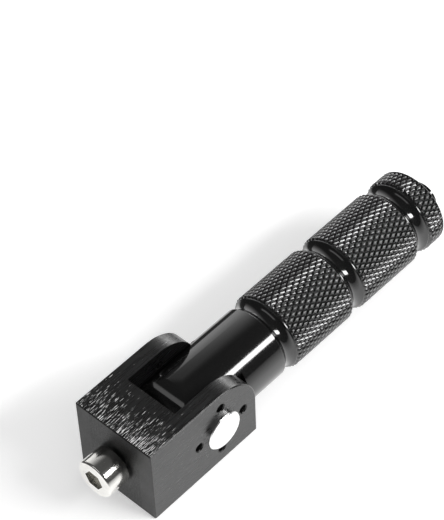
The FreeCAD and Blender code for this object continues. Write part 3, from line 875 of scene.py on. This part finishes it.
@dataclass
class KnurledBar:
    """The bar that folds: tongue, neck, three grooves, three knurled bands, cone and nub.

    Sizes are in millimetres, along X from the pivot and out from the bar's own axis.
    """

    pivot: float = 29.0
    axis_drop: float = 1.0
    tongue_half: float = 9.35
    tongue_radius: float = 11.5
    heel_radius: float = 13.5
    shoulder: float = 15.15
    neck_radius: float = 12.5
    grip_radius: float = 13.3
    neck_length: float = 18.25
    groove_pitch: float = 31.3
    groove_count: int = 3
    groove_radius: float = 2.8
    groove_floor: float = 11.1
    lip_radius: float = 12.75
    lip_round: float = 0.35
    lip_width: float = 0.25
    end_bevel: float = 0.5
    end_band: float = 9.7
    tip_round: float = 0.8
    cone_angle: float = 60.0
    nub_radius: float = 4.7
    cove_length: float = 0.45
    cove_radius: float = 0.8
    dome_radius: float = 3.9
    dome_height: float = 2.4
    bore_radius: float = 4.55
    click_radius: float = 9.4
    ball_hole_radius: float = 2.05
    sides: int = 192
    lip_steps: int = 4
    groove_steps: int = 16
    rim_steps: int = 12
    cove_steps: int = 5
    dome_steps: int = 14
    tongue_steps: int = 48
    bore_sides: int = 96
    spare: float = 1.0
    cutter_reach: float = 30.0
    corner_angle: float = 20.0
    crest_angle: float = 60.0
    knurl_depth: float = 0.55
    knurl_starts: int = 42
    diamond_length: float = 3.45
    crest_share: float = 0.40
    under_knurl: float = 0.35
    crest_gap: float = 0.075
    rim_length: float = 0.5
    rim_drop: float = 0.3
    finish: BarFinish = field(default_factory=BarFinish)

    def groove_middle(self, number: int) -> float:
        """Where a groove's middle lies along the bar."""
        return self.shoulder + self.neck_length + number * self.groove_pitch

    def half_mouth(self, radius: float) -> float:
        """Half the length of a groove from lip to lip, where it meets a cylinder of a radius."""
        rise = self.groove_floor + self.groove_radius - radius + self.lip_round
        return math.sqrt((self.groove_radius + self.lip_round) ** 2 - rise ** 2)

    def groove_places(self, number: int) -> list:
        """Places along one groove, from lip to rounded lip.

        Args:
            number: which groove.

        Returns:
            The places.
        """
        top = self.groove_floor + self.groove_radius
        middle = self.groove_middle(number)
        before = self.neck_radius if number == 0 else self.lip_radius
        half_before = self.half_mouth(before)
        half_after = self.half_mouth(self.lip_radius)
        first = math.degrees(math.atan2(top - before + self.lip_round, half_before))
        last = math.degrees(math.atan2(top - self.lip_radius + self.lip_round, half_after))
        near = (middle - half_before, before - self.lip_round)
        far = (middle + half_after, self.lip_radius - self.lip_round)
        return (arc(near, self.lip_round, 90, first, self.lip_steps)[:-1]
                + arc((middle, top), self.groove_radius, 180 + first, 360 - last, self.groove_steps)
                + arc(far, self.lip_round, 180 - last, 90, self.lip_steps)[1:])

    def bands(self) -> list[tuple[float, float]]:
        """Where each knurled band starts and ends."""
        mouth = self.half_mouth(self.lip_radius) + self.lip_width
        ends = []
        for number in range(self.groove_count):
            start = self.groove_middle(number) + mouth
            if number + 1 < self.groove_count:
                ends.append((start, self.groove_middle(number + 1) - mouth))
            else:
                ends.append((start, self.groove_middle(number) + self.end_band))
        return ends

    def rim_start(self) -> float:
        """Where the rounded rim of the tip starts along the bar."""
        corner = self.groove_middle(self.groove_count - 1) + self.end_band
        return corner - self.tip_round * math.tan(math.radians(self.cone_angle / 2))

    def tip_places(self) -> list:
        """Places along the outer half of the rounded rim, the cone, the cove and the domed nub.

        Returns:
            The places.
        """
        corner = self.groove_middle(self.groove_count - 1) + self.end_band
        centre = (self.rim_start(), self.grip_radius - self.tip_round)
        places = arc(centre, self.tip_round, 90, 90 - self.cone_angle, self.rim_steps)[self.rim_steps // 2:]
        cone_end = corner + (self.grip_radius - self.nub_radius) / math.tan(math.radians(self.cone_angle))
        places.append((cone_end, self.nub_radius))
        dome_start = cone_end + self.cove_length
        places += self.cove(cone_end, dome_start)
        cap = (self.dome_radius ** 2 + self.dome_height ** 2) / (2 * self.dome_height)
        middle = dome_start + self.dome_height - cap
        opening = math.degrees(math.asin(self.dome_radius / cap))
        places += arc((middle, 0), cap, opening, 0, self.dome_steps)[1:-1]
        places.append((dome_start + self.dome_height, 0.0))
        return places

    def cove(self, start: float, end: float) -> list:
        """Places along the hollow between the cone and the dome, without its first.

        Args:
            start: where it starts along the bar.
            end: where it ends.

        Returns:
            The places.
        """
        chord = Vector((end - start, self.dome_radius - self.nub_radius))
        left = Vector((-chord.y, chord.x)).normalized()
        reach = math.sqrt(self.cove_radius ** 2 - (chord.length / 2) ** 2)
        middle = Vector((start, self.nub_radius)) + chord / 2 + left * reach
        first = math.degrees(math.atan2(self.nub_radius - middle.y, start - middle.x))
        last = math.degrees(math.atan2(self.dome_radius - middle.y, end - middle.x))
        return arc(tuple(middle), self.cove_radius, first, last, self.cove_steps)[1:]

    def outline(self) -> list:
        """The bar's outline from end to end, in metres. Its bands lie a little below the knurl's valleys.

        Returns:
            The places.
        """
        band_radius = self.grip_radius - self.knurl_depth - self.under_knurl
        start = -(self.tongue_radius + self.spare)
        places = [(start, 0.0), (start, self.neck_radius)]
        for number, (band_start, band_end) in enumerate(self.bands()):
            places += self.groove_places(number)
            places += [(band_start, self.lip_radius), (band_start + self.end_bevel, band_radius)]
            if number + 1 < self.groove_count:
                places += [(band_end - self.end_bevel, band_radius), (band_end, self.lip_radius)]
        places += [(self.rim_start(), band_radius), *self.tip_places()]
        return in_metres(places)

    def knurl_band(self, tree: bpy.types.NodeTree, start: float, end: float,
                   material: bpy.types.Material) -> bpy.types.Object:
        """The knurled spindle that one band is cut from.

        It reaches past the band by a diamond and more, and ends where no crest is cut through, so it closes.

        Args:
            tree: the knurl's geometry tree.
            start: where the band starts along the bar.
            end: where it ends.
            material: the bar's material.

        Returns:
            The spindle.
        """
        half_diamonds = math.ceil((end - start) / self.diamond_length) + 2
        reach = (half_diamonds + (1 - self.crest_share) / 2) * self.diamond_length / 2
        columns = 2 * math.ceil(reach / self.diamond_length) + 2
        return run_tree("knurl", tree, {
            "Valley radius": (self.grip_radius - self.knurl_depth) * MM, "Depth": self.knurl_depth * MM,
            "Diamond length": self.diamond_length * MM, "Crest share": self.crest_share,
            "Starts": self.knurl_starts, "Columns": columns, "Middle": (start + end) / 2 * MM,
            "Reach": reach * MM, "Finish": material})

    def envelope(self, start: float, end: float, is_last: bool) -> bpy.types.Object:
        """The plain solid that bounds one knurled band. It stands clear of the crests and bevels both ends.

        Args:
            start: where the band starts along the bar.
            end: where it ends.
            is_last: whether the band ends in the rounded rim of the tip.

        Returns:
            The solid.
        """
        sink = self.lip_width
        low = self.lip_radius - self.lip_width
        foot = self.lip_radius - self.lip_width / 4
        top = self.grip_radius + self.crest_gap
        bevel = self.end_bevel * (top - foot) / (self.grip_radius - foot)
        places = [(start + sink, 0.0), (start + sink, low), (start, foot), (start + bevel, top)]
        if is_last:
            far = self.rim_start() + self.rim_length
            places += [(self.rim_start(), top), (far, self.grip_radius - self.rim_drop), (far, 0.0)]
        else:
            places += [(end - bevel, top), (end, foot), (end - sink, low), (end - sink, 0.0)]
        return add_object("band", turned_mesh("band", in_metres(places), self.sides))

    def cut_tongue(self, bar: bpy.types.Object) -> None:
        """Mill the two flats, round the end of the tongue and bore it.

        Args:
            bar: the turned bar, already in its place.
        """
        far = self.cutter_reach
        flat = [(-far, -far), (self.shoulder, -far), (self.shoulder, far), (-far, far)]
        heel_middle = (self.heel_radius - self.tongue_radius, 0)
        heel = arc(heel_middle, self.heel_radius, 270, 180, self.tongue_steps)
        crown = arc((0, 0), self.tongue_radius, 180, 90, self.tongue_steps)[1:]
        end = [(0, far), (-far, far), (-far, -far), (heel_middle[0], -far), *heel, *crown]
        bore = arc((0, 0), self.bore_radius, 0, 360, self.bore_sides)[:-1]
        ball_hole = arc((self.click_radius, 0), self.ball_hole_radius, 0, 360, self.bore_sides)[:-1]
        cutters = ((flat, -far, -self.tongue_half), (flat, self.tongue_half, far), (end, -far, far),
                   (bore, -far, far), (ball_hole, -far, far))
        for outline, low, high in cutters:
            places = in_metres([(along + self.pivot, up) for along, up in outline])
            cutter = add_object("cutter", prism_mesh("cutter", places, low * MM, high * MM))
            combine(bar, cutter, Cut.REMOVE)

    def soften_crests(self, mesh: bpy.types.Mesh) -> None:
        """Shade the knurl's crests round, as worn anodising is, and leave its valleys sharp.

        Args:
            mesh: the finished bar.
        """
        solid = bmesh.new()
        solid.from_mesh(mesh)
        knurl_radius = (self.neck_radius + self.lip_radius) / 2 * MM
        widest = math.radians(self.crest_angle)
        for edge in solid.edges:
            reach = min(math.hypot(vertex.co.y, vertex.co.z + self.axis_drop * MM) for vertex in edge.verts)
            if reach > knurl_radius and edge.is_convex and edge.calc_face_angle(0.0) < widest:
                edge.smooth = True
        solid.to_mesh(mesh)
        solid.free()

    def build(self) -> None:
        """Make the bar, knurl it, cut its tongue and dress it."""
        material = self.finish.build()
        bar = add_object("knurled_bar", turned_mesh("knurled_bar", self.outline(), self.sides))
        tree = knurl_tree()
        bands = self.bands()
        skins = []
        for start, end in bands:
            skin = self.knurl_band(tree, start, end, material)
            combine(skin, self.envelope(start, end, end == bands[-1][1]), Cut.KEEP_SHARED)
            weld(skin.data)
            skins.append(skin)
            LOG.info("knurled band %d: %d faces", len(skins), len(skin.data.polygons))
        combine(bar, join(skins), Cut.ADD)
        weld(bar.data)
        bar.data.transform(Matrix.Translation((self.pivot * MM, 0, -self.axis_drop * MM)))
        self.cut_tongue(bar)
        smooth_by_angle(bar.data, self.corner_angle)
        self.soften_crests(bar.data)
        dress(bar, material)
        stand_for(bar, "peg_bar")


@dataclass
class MountingBlock:
    """The slotted block that bolts to the motorcycle."""

    finish: BlockFinish = field(default_factory=BlockFinish)

    def build(self) -> None:
        """Weld the block's surface and dress it."""
        block = welded_copy("clevis_block", "slotted_block")
        dress(block, self.finish.build())
        stand_for(block, "clevis_block")


@dataclass
class PivotSet:
    """The pivot pin and the clip that holds it.

    Sizes are in millimetres, along Y and out from the pin's axis.
    """

    pivot: float = 29.0
    head_top: float = -16.5
    head_radius: float = 6.5
    head_bevel: float = 0.3
    ear: float = 15.0
    radius: float = 4.5
    groove: tuple = (15.15, 16.15)
    groove_radius: float = 3.5
    end: float = 18.6
    end_bevel: float = 1.0
    sides: int = 128

    def pin(self) -> bpy.types.Object:
        """The pin: a flat head, a plain shank, the clip's groove and a bevelled end.

        Returns:
            The pin.
        """
        start, stop = self.groove
        places = [(self.head_top, 0.0), (self.head_top, self.head_radius - self.head_bevel),
                  (self.head_top + self.head_bevel, self.head_radius), (-self.ear, self.head_radius),
                  (-self.ear, self.radius), (start, self.radius), (start, self.groove_radius),
                  (stop, self.groove_radius), (stop, self.radius), (self.end - self.end_bevel, self.radius),
                  (self.end, self.radius - self.end_bevel), (self.end, 0.0)]
        mesh = turned_mesh("headed_pin", in_metres(places), self.sides)
        quarter = Matrix.Rotation(math.radians(90), 4, "Z")
        mesh.transform(Matrix.Translation((self.pivot * MM, 0, 0)) @ quarter)
        smooth_by_angle(mesh)
        return add_object("headed_pin", mesh)

    def build(self) -> None:
        """Make the pin, weld the clip and dress both."""
        pin = self.pin()
        dress(pin, PIN_ZINC.build())
        stand_for(pin, "pivot_pin")
        clip = welded_copy("retaining_clip", "e_clip")
        dress(clip, CLIP_STEEL.build())
        stand_for(clip, "retaining_clip")


@dataclass
class ClickStop:
    """The two balls and the spring that hold the bar up or down."""

    corner_angle: float = 60.0

    def build(self) -> None:
        """Weld the balls and the spring and dress them."""
        material = BALL_STEEL.build()
        for node, name in (("click_ball_left", "left_ball"), ("click_ball_right", "right_ball"),
                           ("click_spring", "ball_spring")):
            piece = welded_copy(node, name, self.corner_angle)
            dress(piece, material)
            stand_for(piece, node)


@dataclass
class SocketScrew:
    """The socket head screw in the back of the block, with an M8 thread. Sizes are in millimetres."""

    under_head: float = -1.0
    left_on: float = 0.02
    tip: float = 15.0
    spare: float = 1.0
    thread_radius: float = 3.95
    thread_depth: float = 0.72
    pitch: float = 1.25
    root_share: float = 0.14
    crest_share: float = 0.14
    runout: float = 1.0
    sunk: float = 0.5
    steps: int = 166
    sides: int = 49

    def build(self) -> None:
        """Weld the screw, put a threaded shank in place of the plain one and dress it."""
        material = SCREW_STAINLESS.build()
        screw = welded_copy("mounting_screw", "socket_screw")
        start = self.under_head + self.left_on
        end = self.tip + self.spare
        wide = self.thread_radius + self.spare
        outline = in_metres([(start, 0.0), (start, wide), (end, wide), (end, 0.0)])
        shank = add_object("plain_shank", turned_mesh("plain_shank", outline, self.sides))
        combine(screw, shank, Cut.REMOVE)
        length = self.tip - self.under_head + self.sunk
        rod = run_tree("thread", thread_tree(), {
            "Root radius": (self.thread_radius - self.thread_depth) * MM, "Depth": self.thread_depth * MM,
            "Pitch": self.pitch * MM, "Root share": self.root_share, "Crest share": self.crest_share,
            "Length": length * MM, "Middle": (self.tip - length / 2) * MM, "Runout": self.runout * MM,
            "Steps": self.steps, "Sides": self.sides, "Finish": material})
        combine(screw, rod, Cut.ADD)
        weld(screw.data)
        smooth_by_angle(screw.data)
        dress(screw, material)
        stand_for(screw, "mounting_screw")


@dataclass(frozen=True)
class Lamp:
    """An area lamp that faces the object. Lengths are in metres and its power is in watts."""

    name: str
    direction: tuple
    distance: float
    size: tuple
    power: float
    along: tuple = (1, 0, 0)
    aim: tuple = (0.06, 0, 0)

    def build(self) -> None:
        """Stand the lamp off along its direction, with its length along the way it runs."""
        light = bpy.data.lights.new(self.name, "AREA")
        light.shape = "RECTANGLE"
        light.size, light.size_y = self.size
        light.energy = self.power
        holder = bpy.data.objects.new(self.name, light)
        away = Vector(self.direction).normalized()
        along = Vector(self.along)
        length = (along - away * away.dot(along)).normalized()
        turn = Matrix((length, away.cross(length), away)).transposed().to_4x4()
        holder.matrix_world = Matrix.Translation(Vector(self.aim) + away * self.distance) @ turn
        bpy.context.scene.collection.objects.link(holder)


STRIP = Lamp("strip", (0.472, -0.686, 0.554), 0.9, (0.80, 0.20), 8.0)
BACK_SOFT = Lamp("back_soft", (-0.69, 0.17, 0.67), 1.0, (0.75, 0.30), 0.6, along=(-0.12, -0.63, 0.02))
FAR_SOFT = Lamp("far_soft", (0.86, 0.46, 0.22), 1.2, (0.36, 0.36), 1.4, along=(0, 0, 1))


@dataclass
class Studio:
    """Floor, sky, lamps and camera. Places on the floor are in millimetres, other lengths in metres."""

    floor_level: float = -0.015
    floor_reach: float = 3.0
    floor_grey: float = 0.90
    floor_lift: float = 0.32
    mirrored_lift: float = 0.18
    # Where mirrors see the floor painted dark, across and along it.
    dark_across: tuple = (35.0, 60.0)
    dark_along: tuple = (220.0, 160.0)
    focal_pixels: float = 2168.98
    sensor_mm: float = 36.0
    camera_place: tuple = (-0.24285, -0.28698, 0.5073)
    camera_right: tuple = (0.67646, -0.73579, -0.03171)
    camera_up: tuple = (0.56504, 0.49091, 0.66313)
    clip: tuple = (0.01, 20.0)
    backdrop_side: tuple = (0.7071, 0.7071, 0.0)
    backdrop_range: tuple = (0.45, 0.96)
    backdrop_ease: float = 1.6
    backdrop_level: float = 1.25
    dark_level: float = 0.08
    soft_level: float = 0.52
    # How far the floor seen in mirrors stays bright on the pin head's side, and how fast its painted fading
    # goes on.
    bright_reach: float = 34.0
    floor_fade: float = 0.7
    white_from: tuple = (250.0, 700.0)
    lamps: tuple = (STRIP, BACK_SOFT, FAR_SOFT)

    def build_camera(self) -> None:
        """Stand the camera where the photograph was taken from."""
        lens = bpy.data.cameras.new("camera")
        lens.sensor_fit = "HORIZONTAL"
        lens.sensor_width = self.sensor_mm
        lens.lens = self.sensor_mm * self.focal_pixels / PHOTO_WIDTH
        lens.clip_start, lens.clip_end = self.clip
        camera = bpy.data.objects.new("camera", lens)
        right = Vector(self.camera_right).normalized()
        upward = Vector(self.camera_up)
        up = (upward - right * right.dot(upward)).normalized()
        turn = Matrix((right, up, right.cross(up))).transposed().to_4x4()
        camera.matrix_world = Matrix.Translation(self.camera_place) @ turn
        bpy.context.scene.collection.objects.link(camera)
        bpy.context.scene.camera = camera

    def seen_directly(self, graph: Graph) -> bpy.types.NodeSocket:
        """Whether a ray comes from the camera, a mirror or glass.

        Args:
            graph: the graph that takes the nodes.

        Returns:
            The socket that gives 1 for such a ray.
        """
        path = graph.node("ShaderNodeLightPath")
        seen = path.outputs[Ray.CAMERA.value]
        for ray in (Ray.GLOSSY, Ray.TRANSMISSION):
            seen = graph.work("MAXIMUM", seen, path.outputs[ray.value])
        return seen

    def build_floor(self) -> None:
        """A wide pale floor that keeps the object's shadow and turns white far away from it; mirrors see it
        with a painted dark reflection.
        """
        reach = self.floor_reach
        corners = [(-reach, -reach), (reach, -reach), (reach, reach), (-reach, reach)]
        mesh = bpy.data.meshes.new("floor")
        mesh.from_pydata([(x, y, self.floor_level) for x, y in corners], [], [(0, 1, 2, 3)])
        floor = add_object("floor", mesh)
        material, graph = new_material("pale_floor")
        path = graph.node("ShaderNodeLightPath")
        mirrored = path.outputs[Ray.GLOSSY.value]
        at = graph.parts(graph.place_mm())
        matt = graph.node("ShaderNodeBsdfDiffuse", {"Color": grey(self.floor_grey)})
        lift = graph.work("ADD", graph.work("MULTIPLY", self.seen_directly(graph), self.floor_lift),
                          graph.work("MULTIPLY", mirrored, self.mirrored_lift))
        glow = graph.node("ShaderNodeEmission", {"Color": grey(1.0), "Strength": lift})
        near = graph.node("ShaderNodeAddShader", {0: matt.outputs[0], 1: glow.outputs[0]})
        # Painted reflection: mirrors see the floor as this dim glow where it is painted dark.
        painted_dark_floor = graph.node("ShaderNodeEmission", {"Color": grey(1.0), "Strength": self.dark_level})
        share = graph.work("MULTIPLY", mirrored, self.painted_reflection_dark(graph, at))
        mixed = graph.node("ShaderNodeMixShader", {0: share, 1: near.outputs[0], 2: painted_dark_floor.outputs[0]})
        white = graph.node("ShaderNodeEmission", {"Color": grey(1.0), "Strength": 1.0})
        distance = graph.length(at.outputs["X"], at.outputs["Y"])
        far = graph.work("MULTIPLY", path.outputs[Ray.CAMERA.value],
                         graph.ramp(distance, *self.white_from, smooth=True))
        paper = graph.node("ShaderNodeMixShader", {0: far, 1: mixed.outputs[0], 2: white.outputs[0]})
        graph.node("ShaderNodeOutputMaterial", {"Surface": paper.outputs[0]})
        mesh.materials.append(material)

    def painted_reflection_dark(self, graph: Graph, at: bpy.types.Node) -> bpy.types.NodeSocket:
        """Painted reflection: how dark mirrors see the floor, fading away on the pin head's side and dark on
        the far side.

        Args:
            graph: the floor's graph.
            at: the node that gives the place's X, Y and Z.

        Returns:
            The socket that gives the darkness.
        """
        beyond = graph.work("MULTIPLY", graph.ramp(at.outputs["Y"], *self.dark_across, smooth=True),
                            graph.ramp(at.outputs["X"], *self.dark_along, smooth=True))
        apart = graph.work("MAXIMUM", graph.work("DIVIDE", at.outputs["Y"], -self.bright_reach), 1.0)
        faded = graph.work("SUBTRACT", 1.0, graph.work("POWER", apart, -self.floor_fade))
        return graph.work("MAXIMUM", beyond, faded)

    def build_sky(self) -> None:
        """A white backdrop low behind the object, and a dark room above it and round the camera."""
        world = bpy.data.worlds.new("surround")
        world.use_nodes = True
        graph = Graph(world.node_tree)
        toward = graph.node("ShaderNodeVectorMath", {0: graph.node("ShaderNodeTexCoord").outputs["Generated"],
                                                     1: self.backdrop_side}, operation="DOT_PRODUCT")
        path = graph.node("ShaderNodeLightPath")
        glossy = path.outputs[Ray.GLOSSY.value]
        near = graph.ramp(toward.outputs["Value"], *self.backdrop_range)
        near = graph.work("POWER", near, self.backdrop_ease)
        tent = graph.work("MULTIPLY_ADD", near, self.backdrop_level, self.dark_level)
        mirrored = graph.work("MULTIPLY", tent, glossy)
        soft = graph.work("MULTIPLY", graph.work("SUBTRACT", 1.0, glossy), self.soft_level)
        direct = graph.work("MAXIMUM", path.outputs[Ray.CAMERA.value], path.outputs[Ray.TRANSMISSION.value])
        level = graph.work("MAXIMUM", graph.work("ADD", mirrored, soft), direct)
        back = graph.node("ShaderNodeBackground", {"Color": grey(1.0), "Strength": level})
        graph.node("ShaderNodeOutputWorld", {"Surface": back.outputs[0]})
        bpy.context.scene.world = world

    def build(self) -> None:
        """Set up everything round the object."""
        self.build_camera()
        self.build_floor()
        self.build_sky()
        for lamp in self.lamps:
            lamp.build()
        bpy.context.scene.view_settings.view_transform = "Standard"


def main() -> None:
    """Build the studio and the pieces."""
    logging.basicConfig(level=logging.INFO, format="%(name)s: %(message)s")
    Studio().build()
    for assembly in (MountingBlock(), KnurledBar(), PivotSet(), ClickStop(), SocketScrew()):
        assembly.build()
        LOG.info("%s built", type(assembly).__name__)


if __name__ == "__main__":
    main()
